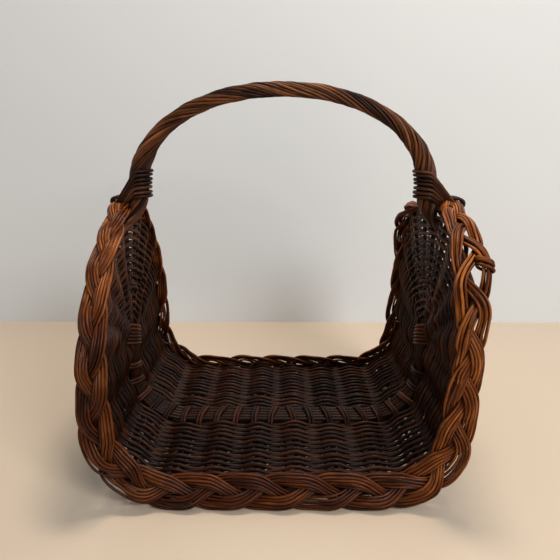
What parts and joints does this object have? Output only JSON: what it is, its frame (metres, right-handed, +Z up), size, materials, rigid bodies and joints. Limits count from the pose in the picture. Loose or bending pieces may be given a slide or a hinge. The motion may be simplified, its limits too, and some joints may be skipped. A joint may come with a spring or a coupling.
{
  "type": "wicker log basket",
  "caption": "Open-fronted wicker log basket: a woven oval mat bent up into two domed walls, with a plaited border and a twisted bow handle.",
  "frame": {"origin": "on the floor, under the middle of the basket's overall box", "axes": "+X from the left wall to the right wall, +Y from the open front to the open back, +Z up"},
  "size_m": [0.465, 0.368, 0.4839],
  "materials": {
    "border_willow": "satin",
    "weaver_willow": "satin",
    "stake_willow": "satin",
    "handle_willow": "satin",
    "lashing_willow": "satin"
  },
  "bodies": {
    "root": {"plait_strand_1": "border_willow", "plait_strand_2": "border_willow", "plait_strand_3": "border_willow", "weaver_round_1": "weaver_willow", "weaver_round_2": "weaver_willow", "weaver_round_3": "weaver_willow", "weaver_round_4": "weaver_willow", "weaver_round_5": "weaver_willow", "cross_stick_01": "stake_willow", "cross_stick_02": "stake_willow", "cross_stick_03": "stake_willow", "cross_stick_04": "stake_willow", "cross_stick_05": "stake_willow", "cross_stick_06": "stake_willow", "cross_stick_07": "stake_willow", "cross_stick_08": "stake_willow", "cross_stick_09": "stake_willow", "cross_stick_10": "stake_willow", "cross_stick_11": "stake_willow", "cross_stick_12": "stake_willow", "long_stick_1": "stake_willow", "long_stick_2": "stake_willow", "long_stick_3": "stake_willow", "long_stick_4": "stake_willow", "long_stick_5": "stake_willow", "fan_stick_left_1": "stake_willow", "fan_stick_left_2": "stake_willow", "fan_stick_left_3": "stake_willow", "fan_stick_left_4": "stake_willow", "fan_stick_right_1": "stake_willow", "fan_stick_right_2": "stake_willow", "fan_stick_right_3": "stake_willow", "fan_stick_right_4": "stake_willow", "handle_bow": "handle_willow", "handle_rod_1": "handle_willow", "handle_rod_2": "handle_willow", "handle_rod_3": "handle_willow", "handle_rod_4": "handle_willow", "handle_rod_5": "handle_willow", "lashing_left": "lashing_willow", "lashing_right": "lashing_willow", "border_tie_left": "lashing_willow", "border_tie_right": "lashing_willow"}
  },
  "joints": []
}
